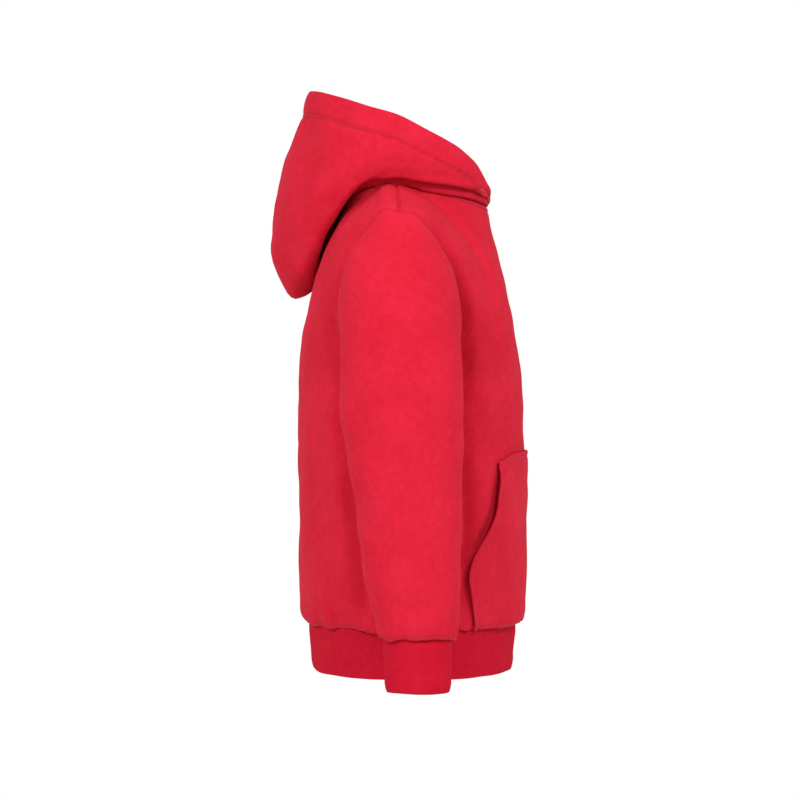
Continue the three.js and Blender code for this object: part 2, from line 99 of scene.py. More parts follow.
# %% Read the outer net of a node
def read_net(node, columns, rows, outward, start=None, rim_angle=35):
    """The outer face's corners, as rows from the lowest up. A tube starts at the
    column that lies furthest towards start, and its columns join up."""
    bm = bmesh.new()
    bm.from_mesh(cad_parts[node].data)
    bmesh.ops.remove_doubles(bm, verts=bm.verts, dist=0.01 * MM)
    bm.normal_update()
    # Faces of the rim are as narrow as the cloth is thick
    thin = {f for f in bm.faces if min(e.calc_length() for e in f.edges) < 4 * MM}

    def is_rim(edge):
        sharp = edge.calc_face_angle(0) > math.radians(rim_angle)
        return sharp and any(f in thin for f in edge.link_faces)

    seed = max(bm.faces, key=lambda f: f.calc_center_median().dot(Vector(outward)))
    for turn in range(3):
        corners = [seed.loops[(turn + k) % 3].vert for k in range(3)]
        at = dict(zip(corners, [(0, 0), (1, 0), (1, 1)]))
        queue, seen = [seed], {seed}
        while queue:
            face = queue.pop(0)
            for edge in (e for e in face.edges if not is_rim(e)):
                (other,) = [f for f in edge.link_faces if f is not face]
                if other in seen:
                    continue
                seen.add(other)
                queue.append(other)
                (new,) = [v for v in other.verts if v not in edge.verts]
                (old,) = [v for v in face.verts if v not in edge.verts]
                p, q = (at[v] for v in edge.verts)
                at.setdefault(new, (p[0] + q[0] - at[old][0], p[1] + q[1] - at[old][1]))
        low = np.min(list(at.values()), axis=0)
        cells = {}
        for vert, place in at.items():
            i, j = np.array(place) - low
            cells.setdefault((j, i % columns if start else i), vert.co[:])
        if len(cells) == len(at) == columns * rows and max(cells) == (rows - 1, columns - 1):
            break
    else:
        raise ValueError(f"the net of {node} can't be read as {columns} by {rows}")
    bm.free()
    net = np.array([[cells[j, i] for i in range(columns)] for j in range(rows)])
    if net[0, :, 2].mean() > net[-1, :, 2].mean():
        net = net[::-1, ::-1]
    if start:
        net = np.roll(net, -int((net.mean(0) @ np.array(start)).argmax()), axis=1)
    return net


# %% [markdown]
# ## From a coarse net to smooth cloth
#
# The CAD net has a corner every 10 to 30 mm. Real cloth bends smoothly between such
# points. A subdivision surface would smooth it too, but it shrinks away from the
# corners, and the seams of neighbouring pieces would drift apart. So a smooth curve
# is carried through the corners, first along the rows and then up the columns, and
# a fine grid is laid on it. The grid is closest near the seams, where the cloth
# rolls under within a few millimetres.


# %% Smooth curves through the net
def carry(knots, places, closed=False):
    """Weights that carry a smooth curve through values at the knots to the places.
    On a closed curve the last knot is the first one again."""
    gaps = np.diff(knots)
    count = len(gaps) + (0 if closed else 1)
    value = np.eye(count)
    rise = np.array([(value[(k + 1) % count] - value[k]) / gap for k, gap in enumerate(gaps)])
    slope = np.zeros((len(knots), count))
    for k in range(len(knots)):
        if not closed and k in (0, len(gaps)):
            continue
        before, after = (k - 1) % len(gaps), k % len(gaps)
        a, b = gaps[before], gaps[after]
        slope[k] = (b * rise[before] + a * rise[after]) / (a + b)
    if not closed:
        slope[0] = 2 * rise[0] - slope[1]
        slope[-1] = 2 * rise[-1] - slope[-2]
    k = np.clip(np.searchsorted(knots, places, side="right") - 1, 0, len(gaps) - 1)
    t = ((places - knots[k]) / gaps[k])[:, None]
    gap = gaps[k][:, None]
    return (
        (2 * t**3 - 3 * t**2 + 1) * value[k % count]
        + (3 * t**2 - 2 * t**3) * value[(k + 1) % count]
        + (t**3 - 2 * t**2 + t) * gap * slope[k]
        + (t**3 - t**2) * gap * slope[k + 1]
    )


NEAR_SEAM = [0, 0.9, 2.0, 3.3, 4.8, 6.4, 8.2, 10.4]  # mm from a seam to the first grid lines


def spread(length, step, fine=True):
    """Places along a length: close together at both ends if fine, else even."""
    near = np.array(NEAR_SEAM if fine else [0]) * MM
    middle = length - 2 * near[-1]
    steps = max(round(middle / step), 1)
    return np.concatenate([
        near[:-1], near[-1] + middle * np.arange(steps + 1) / steps, length - near[:-1][::-1]
    ])


def lengths(points, axis):
    """Distance along the grid lines from their start to each point."""
    pieces = np.linalg.norm(np.diff(points, axis=axis), axis=2)
    pad = [(1, 0), (0, 0)] if axis == 0 else [(0, 0), (1, 0)]
    return np.cumsum(np.pad(pieces, pad), axis=axis)


class Cloth:
    """A piece of cloth: a fine grid of points, and what is known about it."""

    def __init__(self, name, net, step, closed=False, fine=(True, True), rise=None):
        self.name, self.closed = name, closed
        ring = np.concatenate([net, net[:, :1]], axis=1) if closed else net
        self.columns = lengths(ring, 1).mean(0)
        self.rows = lengths(net, 0).mean(1)
        self.u = spread(self.columns[-1], step * MM, fine[0])
        self.v = spread(self.rows[-1], (rise or step) * MM, fine[1])
        across, up = carry(self.columns, self.u, closed), carry(self.rows, self.v)
        self.points = np.einsum("vr,rcx,uc->vux", up, net, across)
        self.measure()
        self.area = self.cell_areas().sum()

    def cell_areas(self):
        """The area of each cell of the grid, from its diagonals."""
        p = self.points
        diagonals = p[1:, 1:] - p[:-1, :-1], p[1:, :-1] - p[:-1, 1:]
        return np.linalg.norm(np.cross(*diagonals), axis=2) / 2

    def measure(self):
        """Normals, and how far each point is from the four edges along the cloth."""
        p = self.points
        wide = np.concatenate([p[:, -2:-1], p, p[:, 1:2]], axis=1) if self.closed else p
        du = np.gradient(wide, axis=1)
        du = du[:, 1:-1] if self.closed else du
        normal = np.cross(du, np.gradient(p, axis=0))
        self.normal = normal / np.linalg.norm(normal, axis=2, keepdims=True)
        across, up = lengths(p, 1), lengths(p, 0)
        self.across, self.up = across, up
        self.edge = {
            "left": across, "right": across[:, -1:] - across,
            "bottom": up, "top": up[-1:] - up,
        }
        self.height = np.zeros(p.shape[:2])

    def settle(self):
        """Move the points by the height that has been drawn up so far."""
        self.points = self.points + self.normal * self.height[..., None]
        if self.closed:
            self.points[:, -1] = self.points[:, 0]
        self.measure()


# %% [markdown]
# ## Soft shapes
#
# Ripples are the slight unevenness that any worn cloth has. Folds are placed one by
# one, each with a trough and low ridges beside it. At a seam the cloth rolls under,
# and the stitches draw it up into small puckers. Where a wide piece is gathered onto
# a rib, the puckers are larger and reach further. All of these are heights along the
# surface's normal, so they add up. After them the fleece droops over the rib below
# it, and each piece is brought onto the pieces that it is sewn to.
#
# A cloth simulation would give folds too, but this garment is held in the shape of
# a filled-out body, and simulated cloth would sag away from it.

# %% Ripples, folds and seams
SEAM_ROLL, PUCKER = 1.9, 0.22  # mm: how deep a seam lies, and the height of its puckers
SEAM_OVERLAP = 0.1  # mm: sewn edges overlap by this, so that no light comes through
ARMHOLE_TOP, ARMHOLE_END = -40, -206  # mm: the heights between which armholes are sunk


def ripples(points, size, seed):
    """Smooth unevenness of about this size in mm, the same on both sides of a seam."""
    draw = np.random.default_rng(seed)
    total = np.zeros(points.shape[:-1])
    waves = 18
    for _ in range(waves):
        way = draw.normal(size=3)
        way *= 2 * math.pi / (size * MM * draw.uniform(0.75, 1.4)) / np.linalg.norm(way)
        total += np.sin(points @ way + draw.uniform(0, 2 * math.pi))
    return total * math.sqrt(2 / waves)


def unevenness(cloth):
    """Broad and small ripples."""
    cloth.height += 0.85 * MM * ripples(cloth.points, 105, 3)
    cloth.height += 0.34 * MM * ripples(cloth.points, 38, 4)


def fold(cloth, path, width, depth, ridge=0.55):
    """Press a trough along a path of points in mm, with a low ridge at either side. It
    is shallower at its ends."""
    path = np.array(path, float) * MM
    run = np.concatenate([[0], np.cumsum(np.linalg.norm(np.diff(path, axis=0), axis=1))])
    away = np.full(cloth.height.shape, np.inf)
    share = np.zeros(cloth.height.shape)
    for a, b, start, end in zip(path, path[1:], run, run[1:]):
        t = np.clip((cloth.points - a) @ (b - a) / ((b - a) @ (b - a)), 0, 1)
        d = np.linalg.norm(cloth.points - a - t[..., None] * (b - a), axis=2)
        nearer = d < away
        away = np.where(nearer, d, away)
        share = np.where(nearer, (start + t * (end - start)) / run[-1], share)
    q = (away / (width * MM)) ** 2
    taper = 0.3 + 0.7 * np.sin(math.pi * share)
    cloth.height -= depth * MM * taper * (1 - ridge * q) * np.exp(-q)


def mirrored(path, shift):
    """A path on the left from one on the right, moved a little, because no two sides
    of a garment ever hang the same way."""
    return [(-x + shift[0], y + shift[1], z + shift[2]) for x, y, z in path]


def seam(cloth, *sides, seed):
    """Roll the cloth under at its sewn sides and draw it into small puckers."""
    for number, side in enumerate(sides):
        edge = cloth.edge[side] / MM
        sunk = np.exp(-((edge / 2) ** 2))
        drawn = ripples(cloth.points, 11, seed + number)
        cloth.height -= SEAM_ROLL * MM * sunk
        cloth.height += PUCKER * MM * drawn * np.exp(-edge / 8) * (1 - sunk)


def gather(cloth, height, reach, spacing, seed):
    """Larger puckers above the lower side, where a piece is gathered onto a rib."""
    waves = ripples(cloth.points * np.array([1, 1, 0.15]), spacing, seed)
    share = np.clip(cloth.edge["bottom"] / MM / reach, 0, 1)
    bulge = 3.2 * np.sqrt(share) * (1 - share) ** 1.5
    cloth.height += height * MM * bulge * (0.35 + waves)


def groove(cloth, field, depth, width):
    """Sink the line where a field is zero, as a row of stitches does. A negative depth
    raises it."""
    cloth.height -= depth * MM * np.exp(-((field / MM / width) ** 2))


def valley(cloth, side, way, depth, width):
    """Sink the cloth along the lower part of an armhole, in the front (way -1) or the
    back (way 1), where the sleeve folds in against the body."""
    y, z = cloth.points[..., 1] / MM, cloth.points[..., 2] / MM
    reach = np.clip((ARMHOLE_TOP - z) / 20, 0, 1) * np.clip((z - ARMHOLE_END) / 30, 0, 1)
    reach *= np.clip((way * y - 8) / 20, 0, 1)
    cloth.height -= depth * MM * reach * np.exp(-((cloth.edge[side] / MM / width) ** 4))


def droop(cloth, depth, reach, spacing, seed, where=1):
    """Let the fleece hang over what is below it, more in some places than in others.
    It is scaled by where, at each point."""
    edge = cloth.edge["bottom"] / MM
    waves = ripples(cloth.points * np.array([1, 1, 0.1]), spacing, seed)
    share = np.sin(math.pi * np.clip(edge / reach, 0, 1)) ** 1.3
    cloth.points[..., 2] -= depth * MM * where * share * np.clip(1 + 0.3 * waves, 0.4, 1.5)
    cloth.measure()


def meet(cloth, side, others, fade=14, sewn=None):
    """Bring one side onto the sides of others, and let the shift fade into the piece. If
    the side isn't sewn all along, sewn gives the share, from 0 to 1, at points in mm."""
    pick = {"left": np.s_[:, 0], "right": np.s_[:, -1], "bottom": np.s_[0], "top": np.s_[-1]}
    inner = {"left": np.s_[:, 1], "right": np.s_[:, -2], "bottom": np.s_[1], "top": np.s_[-2]}
    edge = cloth.points[pick[side]]
    best, target = np.full(len(edge), np.inf), edge.copy()
    for other, where in others:
        line = other.points[pick[where]]
        for a, b in zip(line, line[1:]):
            t = np.clip((edge - a) @ (b - a) / ((b - a) @ (b - a)), 0, 1)
            on = a + t[:, None] * (b - a)
            d = np.linalg.norm(edge - on, axis=1)
            target = np.where((d < best)[:, None], on, target)
            best = np.minimum(best, d)
    outward = edge - cloth.points[inner[side]]
    outward *= SEAM_OVERLAP * MM / np.linalg.norm(outward, axis=1, keepdims=True)
    shift = target + outward - edge
    if sewn is not None:
        share = sewn(edge / MM)
        shift, best = shift * share[:, None], best * share
    shift = shift[:, None] if side in ("left", "right") else shift[None]
    weight = np.exp(-((cloth.edge[side] / MM / fade) ** 2))
    cloth.points = cloth.points + shift * weight[..., None]
    cloth.measure()
    print(f"{cloth.name}: its {side} side was {best.max() / MM:.1f} mm off at most")


# %% [markdown]
# ## The cut pieces
#
# The body is a front and a back with side and shoulder seams. The sleeves are tubes
# set into the armholes, and end in cuffs of rib. The hood is two halves with a seam
# over the middle of the head. The pocket is laid on the front. The hem is a band of
# rib, drawn in a little.

# %% Read every piece
LEFT, RIGHT, FRONT, BACK = (1, 0, 0), (-1, 0, 0), (0, -1, 0), (0, 1, 0)
front = Cloth("front", read_net("front_body", 23, 22, FRONT, rim_angle=5), 3.6)
back = Cloth("back", read_net("back_body", 23, 22, BACK, rim_angle=5), 3.6)
sleeves = [
    Cloth("sleeve_r", read_net("sleeve_right", 20, 19, RIGHT, start=LEFT), 3.4, True),
    Cloth("sleeve_l", read_net("sleeve_left", 20, 19, LEFT, start=RIGHT), 3.4, True),
]
hoods = [
    Cloth("hood_r", read_net("hood_right", 13, 16, RIGHT), 3.0, rise=1.8),
    Cloth("hood_l", read_net("hood_left", 13, 16, LEFT), 3.0, rise=1.8),
]
pocket = Cloth("pocket", read_net("kangaroo_pocket", 13, 9, FRONT), 2.8)
for cloth in (front, back, *sleeves, *hoods, pocket):
    wide, tall = cloth.across[:, -1].max(), cloth.up[-1].max()
    print(cloth.name, cloth.points.shape[:2],
          f"flat {wide:.3f} x {tall:.3f} m, {cloth.area:.4f} m2")

# %% [markdown]
# ## Folds in the body
#
# A filled-out sweatshirt has few folds. The deep ones lie beside the hanging sleeves:
# they run from the armhole down to the hem, and their shade sets the sleeve off from
# the body. The rest are slight, and short ones stand above the hem, where the fleece
# is gathered onto the rib. The hidden side gets its own set, a little different.

# %% Shape the front and the back
# Each fold: path in mm, width in mm, depth in mm
FRONT_FOLDS = [
    ([(-168, -42, -46), (-154, -58, -80), (-144, -65, -110), (-135, -72, -150),
      (-129, -72, -200)], 7, 12),
    ([(-141, -68, -110), (-129, -71, -200), (-138, -71, -300), (-140, -70, -370),
      (-140, -69, -446)], 7, 12),
    ([(-141, -68, -110), (-128, -74, -200), (-137, -75, -300), (-138, -74, -370),
      (-138, -72, -446)], 15, 4),
    ([(168, -40, -50), (154, -56, -84), (144, -63, -114), (135, -70, -152),
      (130, -70, -200)], 8, 10),
    ([(141, -66, -114), (130, -69, -204), (138, -69, -300), (141, -68, -370),
      (141, -66, -446)], 8, 10),
    ([(141, -66, -114), (129, -72, -204), (137, -73, -300), (139, -72, -370),
      (139, -70, -446)], 15, 3),
    ([(-112, -94, -150), (-108, -102, -210), (-118, -98, -290)], 15, 1.0),
    ([(118, -90, -146), (110, -102, -222), (118, -98, -282)], 15, 1.0),
    ([(52, -116, -106), (66, -122, -162), (58, -130, -234)], 20, 1.0),
    ([(-150, -40, -398), (-140, -72, -432)], 9, 1.6),
    ([(150, -46, -392), (138, -76, -436)], 9, 1.5),
]
BACK_FOLDS = [
    ([(-133, 64, -150), (-129, 57, -220), (-138, 51, -300), (-144, 42, -360),
      (-146, 32, -440)], 12, 13),
    ([(134, 62, -152), (130, 56, -224), (139, 49, -300), (145, 40, -360),
      (146, 30, -440)], 13, 10),
    ([(-118, 86, -150), (-106, 98, -248), (-114, 94, -330)], 17, 1.6),
    ([(116, 88, -138), (104, 100, -226), (112, 96, -344)], 17, 1.5),
    ([(-40, 102, -210), (-52, 106, -300), (-44, 106, -392)], 22, 1.1),
    ([(46, 102, -236), (58, 106, -330), (50, 104, -410)], 22, 1.2),
    ([(-130, 64, -396), (-112, 86, -440)], 10, 1.5),
    ([(124, 70, -402), (104, 90, -444)], 10, 1.4),
    ([(-12, 104, -404), (6, 104, -446)], 10, 1.1),
]
NECK_COLUMNS = (5, 17)  # of the front's and the back's net: the neck is between them
NECK_STITCH = 6.0  # mm from the neck seam to the row of stitches under it
HEM_STITCH = 6.0  # mm from a rib's seam to the row of stitches above it
NECK_SIDE = 82  # mm from the centre: the shoulder seams start here
ARMPIT = -198  # mm: the side seams run from here down to the hem
ARMHOLE = {"front": (-1, 14, 22), "back": (1, 8, 15)}  # way, depth and width in mm
OPENING_ROWS = (4, 8)  # of the pocket's net: its slanted openings run between these
OPENING_LINES = (5, -6)  # of the pocket's grid: they lie a few mm inside the openings
OPENING_DENT = (8, 5.5)  # mm: width and depth of the front's dent behind an opening


def between(cloth, low, high):
    """1 between two columns of the net and 0 outside, with soft ends."""
    soft = 1.5 * MM
    rise = 1 / (1 + np.exp(-(cloth.u - cloth.columns[low]) / soft))
    fall = 1 / (1 + np.exp((cloth.u - cloth.columns[high]) / soft))
    return (rise * fall)[None]


def shoulder(points):
    """1 along the shoulder seams and 0 along the neck."""
    return np.clip((np.abs(points[:, 0]) - NECK_SIDE) / 5, 0, 1)


def side_seam(points):
    """1 along the side seams and 0 along the armholes."""
    return np.clip((ARMPIT - points[:, 2]) / 20, 0, 1)


for cloth, folds, seed in ((front, FRONT_FOLDS, 11), (back, BACK_FOLDS, 21)):
    unevenness(cloth)
    for path, width, depth in folds:
        fold(cloth, path, width, depth)
    if cloth is front:
        low, high = pocket.rows[list(OPENING_ROWS)]
        beside = (pocket.v > low) & (pocket.v < high)
        for line in OPENING_LINES:
            fold(cloth, pocket.points[beside, line][::4] / MM, *OPENING_DENT, ridge=0)
    gather(cloth, 1.3, reach=30, spacing=21, seed=seed)
    seam(cloth, "left", "right", "bottom", "top", seed=seed)
    neck, top = between(cloth, *NECK_COLUMNS), cloth.edge["top"]
    groove(cloth, top, 0.4 * neck, 2.6)  # the neck seam is faint
    groove(cloth, top, 1.4 * (1 - neck), 1.4)  # the shoulder seams are deeper
    for side in ("left", "right"):
        groove(cloth, cloth.edge[side], 1.6, 1.4)
        valley(cloth, side, *ARMHOLE[cloth.name])
    groove(cloth, top - 3.4 * MM, -0.6 * neck, 1.5)  # the roll between seam and stitches
    groove(cloth, top - NECK_STITCH * MM, neck, 1.5)
    if cloth is back:  # beside the neck it comes up under the hood
        aside = np.clip((np.abs(cloth.points[..., 0]) / MM - 30) / 30, 0, 1)
        groove(cloth, top - 14 * MM, -4 * aside, 8)
    groove(cloth, cloth.edge["bottom"] - HEM_STITCH * MM, 0.9, 1.6)
    cloth.settle()
    droop(cloth, 1.6, reach=12, spacing=26, seed=seed + 5)
meet(back, "top", [(front, "top")], fade=8, sewn=shoulder)
for side, other in (("left", "right"), ("right", "left")):
    meet(back, side, [(front, other)], fade=8, sewn=side_seam)
print("front and back shaped")

# %% [markdown]
# ## The sleeves
#
# A hanging sleeve is full at the top and creases at the elbow and just above the
# cuff, where its spare length gathers. The creases run across it on a slant. The
# armhole seam is sewn last on the real garment, so here the sleeve is brought onto
# the body's armhole.

# %% Shape the sleeves
SLEEVE_FOLDS = [
    ([(-182, -52, -150), (-176, -60, -205), (-178, -62, -262)], 12, 1.6),
    ([(-186, 52, -158), (-178, 54, -214), (-180, 50, -270)], 12, 1.6),
    ([(-168, 20, -262), (-176, 42, -286), (-196, 50, -300)], 10, 1.6),
    ([(-170, -4, -312), (-176, 26, -338), (-194, 40, -352)], 9, 2.0),
    ([(-174, -30, -330), (-184, -52, -350), (-204, -62, -358)], 9, 1.3),
    ([(-248, -22, -300), (-250, 6, -322), (-240, 32, -330)], 14, 0.9),
    ([(-180, -46, -388), (-192, -60, -404), (-214, -62, -410)], 9, 1.4),
    ([(-236, 16, -396), (-220, 26, -414), (-200, 22, -424)], 9, 1.6),
    ([(-250, -30, -426), (-244, -50, -440), (-228, -58, -448)], 7, 1.3),
    ([(-176, -6, -398), (-184, 12, -420), (-198, 20, -436)], 8, 1.6),
]
SLEEVE_SHIFT = (4, 5, -9)  # mm: how far the left sleeve's folds lie from the right one's

for number, cloth in enumerate(sleeves):
    unevenness(cloth)
    for path, width, depth in SLEEVE_FOLDS:
        fold(cloth, mirrored(path, SLEEVE_SHIFT) if number else path, width, depth)
    gather(cloth, 0.8, reach=22, spacing=20, seed=31 + number)
    seam(cloth, "bottom", "top", seed=33 + number)
    groove(cloth, cloth.edge["bottom"] - HEM_STITCH * MM, 0.9, 1.6)
    groove(cloth, cloth.edge["top"], 1.2, 1.4)
    valley(cloth, "top", way=-1, depth=8, width=8)
    valley(cloth, "top", way=1, depth=5, width=8)
    cloth.settle()
    droop(cloth, 2.8, reach=13, spacing=38, seed=37 + number)
    side = ("left", "right") if number == 0 else ("right", "left")
    meet(cloth, "top", [(front, side[0]), (back, side[1])])

# %% [markdown]
# ## The hood
#
# The hood lies open behind the neck and stands up at its edge. In front of the
# shoulders it rises from the neck seam for a centimetre and then folds out, and that
# crease is the darkest line of the garment. The edge is turned in and stitched down,
# which makes a padded band, widest at the back.

# %% Shape the hood
HOOD_FOLDS = [
    ([(-92, 40, 38), (-84, 80, 10), (-58, 112, -24)], 15, 2.0),
    ([(-100, 30, 8), (-82, 74, -24), (-50, 104, -62)], 12, 1.5),
    ([(-88, 48, 62), (-74, 84, 52), (-44, 104, 40)], 14, 1.2),
    ([(-104, -20, 36), (-98, -62, 20), (-78, -90, 6)], 10, 1.4),
    ([(-106, 26, 22), (-106, -14, 18), (-96, -62, 2)], 10, 1.3),
    ([(-20, 126, 30), (-34, 122, -20), (-28, 118, -70)], 16, 1.3),
]
HOOD_SHIFT = (2, -5, 7)  # mm: how far the left half's folds lie from the right one's
# The hood's underside, which swells out behind the neck
POUCH = [(-62, 88, -70), (-40, 95, -90), (0, 98, -103), (40, 95, -90), (62, 88, -70)]
THROAT = (0, -98, -15)  # where the two halves meet in front; they are drawn in there
CREASE = 11.5  # mm from the neck seam up to the crease
BAND_ROW = 13  # of the net: the band runs from here to the edge
BAND_PAD = 1.3  # mm: how full the band is, and how deep its stitches lie

for number, cloth in enumerate(hoods):
    unevenness(cloth)
    for path, width, depth in HOOD_FOLDS:
        fold(cloth, mirrored(path, HOOD_SHIFT) if number else path, width, depth)
    seam(cloth, "left", "right", "bottom", seed=41 + number)
    fold(cloth, POUCH, 14, -9, ridge=0)

    ahead = np.clip((30 - cloth.points[..., 1] / MM) / 20, 0, 1)  # 0 behind the shoulders
    throat = np.linalg.norm(cloth.points / MM - np.array(THROAT), axis=2)
    clear = 1 - np.exp(-((throat / 38) ** 2))  # 0 at the throat, 1 away from it
    above = cloth.edge["bottom"] - CREASE * (0.55 + 0.45 * clear) * MM
    groove(cloth, above, 4 * ahead * (0.3 + 0.7 * clear), 1.8)  # the crease
    groove(cloth, above - 6.5 * MM, -3 * ahead * clear, 4.5)  # the roll over it
    groove(cloth, above + 6 * MM, -2.4 * ahead * clear, 3)  # the swell under it
    groove(cloth, throat * MM, 2, 15)

    stitched = (cloth.v - cloth.rows[BAND_ROW])[:, None]
    share = np.clip(stitched / (cloth.rows[-1] - cloth.rows[BAND_ROW]), 0, 1)
    width = (cloth.edge["top"] / np.maximum(1 - share, 0.02) / MM).clip(1, 26)
    pad = BAND_PAD * np.clip(width / 20, 0.2, 1)
    cloth.height += pad * MM * np.sqrt(np.sin(math.pi * share))
    groove(cloth, stitched, pad, 1.9)
    cloth.settle()
    droop(cloth, 0.8, reach=14, spacing=60, seed=43 + number, where=clear)
    meet(cloth, "bottom", [(front, "top"), (back, "top")], fade=10)
for side, other in (("left", "right"), ("right", "left")):
    meet(hoods[1], side, [(hoods[0], other)])

# %% [markdown]
# ## The pocket
#
# A kangaroo pocket is one layer of fleece, stitched down along its top, its short
# sides and the hem, and open along the two slanted sides. The openings stand away
# from the front a little, as they do once hands have stretched them.

# %% Shape the pocket
POCKET_FOLDS = [
    ([(-122, -98, -384), (-104, -122, -344), (-96, -126, -300)], 12, 1.5),
    ([(-128, -92, -404), (-110, -116, -388), (-84, -130, -372)], 12, 1.1),
    ([(120, -100, -380), (104, -122, -338), (94, -126, -304)], 12, 1.4),
    ([(128, -92, -408), (112, -114, -394), (82, -130, -380)], 12, 1.2),
    ([(-20, -136, -300), (-8, -137, -360), (-22, -136, -420)], 22, 0.9),
]
TURNED_EDGE = 1.6  # mm: the edge is turned in, so it is twice as thick up to the stitches
TURNED_TOP = 0.64  # mm: the top edge is stitched flat
GAPE = 2.0  # mm: how far the openings stand away
CORNER_DROP = 8  # mm: the top corners hang lower than the middle of the top edge
POCKET_STITCH = 5.5  # mm from the pocket's edges to their stitches
POCKET_HEM_STITCH = 4.0  # mm from the hem seam to the stitches above it, on the pocket

unevenness(pocket)
for path, width, depth in POCKET_FOLDS:
    fold(pocket, path, width, depth)
gather(pocket, 0.7, reach=28, spacing=21, seed=11)
low, high = pocket.rows[list(OPENING_ROWS)]
gape = np.sin(math.pi * np.clip((pocket.v - low) / (high - low), 0, 1))[:, None] ** 0.8
for side in ("left", "right"):
    groove(pocket, pocket.edge[side], -GAPE * gape, 12)
    groove(pocket, pocket.edge[side] - 2.2 * MM, -TURNED_EDGE, 2)
    groove(pocket, pocket.edge[side] - POCKET_STITCH * MM, 0.8, 1.5)
groove(pocket, pocket.edge["top"] - 2.2 * MM, -TURNED_TOP, 2)
groove(pocket, pocket.edge["top"] - POCKET_STITCH * MM, 0.8, 1.5)
groove(pocket, pocket.edge["bottom"] - POCKET_HEM_STITCH * MM, 0.9, 1.6)
pocket.settle()
droop(pocket, 1.6, reach=12, spacing=26, seed=16)
for side in ("left", "right"):
    away, down = pocket.edge[side] / MM, pocket.edge["top"] / MM
    corner = np.exp(-((away / 22) ** 2) - (down / 70) ** 2)
    pocket.points[..., 2] -= CORNER_DROP * MM * corner
pocket.measure()

# %% [markdown]
# ## The ribs
#
# Cuffs and hem are knitted in ribs that stand up as fine ridges, a few to the
# centimetre. The ridges are modelled, because at an edge a bump in the material
# alone would show a smooth outline. Each ridge takes four grid lines. The band is
# folded double, so its lower edge is round. Its upper edge is sewn, and goes on
# inside the fleece for a few millimetres as a seam allowance.

# %% Shape the cuffs and the hem band
RIB_PITCH = 2.8  # mm from ridge to ridge
RIB_RISE = 0.24  # mm, half of a ridge's height
ALLOWANCE = 2.4  # mm: how far a rib goes on inside the fleece


def ribbed(name, net):
    """A tube of rib knit, still smooth, with four grid lines for each of its ridges."""
    shape = {"closed": True, "fine": (False, True), "rise": 9}
    girth = Cloth(name, net, 5, **shape).columns[-1]
    ribs = round(girth / (RIB_PITCH * MM))
    cloth = Cloth(name, net, girth / (4 * ribs) / MM, **shape)
    cloth.ribs = (len(cloth.u) - 1) // 4
    cloth.height += 0.5 * MM * ripples(cloth.points, 46, 5)
    groove(cloth, cloth.edge["top"], 0.8, 2.2)
    cloth.settle()
    return cloth


def both_faces(cloth, thickness):
    """Rows of points up the outer face, over the seam, down the inner face and round
    the fold at the bottom, with the ridges on both faces."""
    # The two lowest rows make room for the fold, and the top one for the allowance
    outer, normal = cloth.points[2:-1], cloth.normal[2:-1]
    ridge = RIB_RISE * np.cos(2 * math.pi * cloth.ribs * cloth.u / cloth.u[-1])[None, :, None]
    ridge = ridge * (1 - np.exp(-((cloth.edge["top"][2:-1] / MM / 3) ** 2)))[..., None]
    half = thickness / 2
    middle = outer - half * MM * normal
    rows = list(middle + (half + ridge) * MM * normal)
    for end, height, way in ((-1, ALLOWANCE, 1), (0, half, -1)):
        along = middle[end] - middle[end - way]
        along *= MM * height / np.linalg.norm(along, axis=1, keepdims=True)
        for angle in (40, 70, 110, 140):
            c, s = math.cos(math.radians(angle)), math.sin(math.radians(angle))
            out = way * half * c + ridge[end] * abs(c)
            rows.append(middle[end] + out * MM * normal[end] + s * along)
        if end == -1:
            rows += list((middle - (half + ridge) * MM * normal)[::-1])
    return np.array(rows + rows[:1])


hem = ribbed("hem", read_net("hem_band", 44, 5, FRONT, start=RIGHT))
cuffs = [
    ribbed("cuff_r", read_net("cuff_right", 20, 5, RIGHT, start=LEFT)),
    ribbed("cuff_l", read_net("cuff_left", 20, 5, LEFT, start=RIGHT)),
]
meet(hem, "top", [(front, "bottom"), (back, "bottom")], fade=7)
for cuff, sleeve in zip(cuffs, sleeves):
    meet(cuff, "top", [(sleeve, "bottom")], fade=7)
print(hem.ribs, "ribs round the hem and", cuffs[0].ribs, "round a cuff")

# %% [markdown]
# ## Making the meshes
#
# Each grid becomes a mesh with Blender's own grid operator, whose corners are then
# set on the surface. Its UV map is the distance along the cloth in metres, so that
# knitted stitches keep their real size. A Solidify modifier gives the wall its
# thickness towards the inside, and a Bevel rounds the cut edges.


# %% From grid to mesh
def add_mesh(name, points, across, up, closed):
    """A mesh of a grid of points, which rides on the garment."""
    rows, columns = points.shape[:2]
    bm = bmesh.new()
    bmesh.ops.create_grid(bm, x_segments=columns - 1, y_segments=rows - 1, size=0.5)
    uv = bm.loops.layers.uv.verify()
    place = {
        v: (round((v.co.y + 0.5) * (rows - 1)), round((v.co.x + 0.5) * (columns - 1)))
        for v in bm.verts
    }
    for face in bm.faces:
        for loop in face.loops:
            at = place[loop.vert]
            loop[uv].uv = across[at], up[at]
    for vert, at in place.items():
        vert.co = points[at]
    if closed:
        bmesh.ops.remove_doubles(bm, verts=bm.verts, dist=0.001 * MM)
    mesh = bpy.data.meshes.new(name)
    bm.to_mesh(mesh)
    bm.free()
    mesh.shade_smooth()
    piece = bpy.data.objects.new(name, mesh)
    bpy.context.scene.collection.objects.link(piece)
    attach(piece, "root")
    return piece


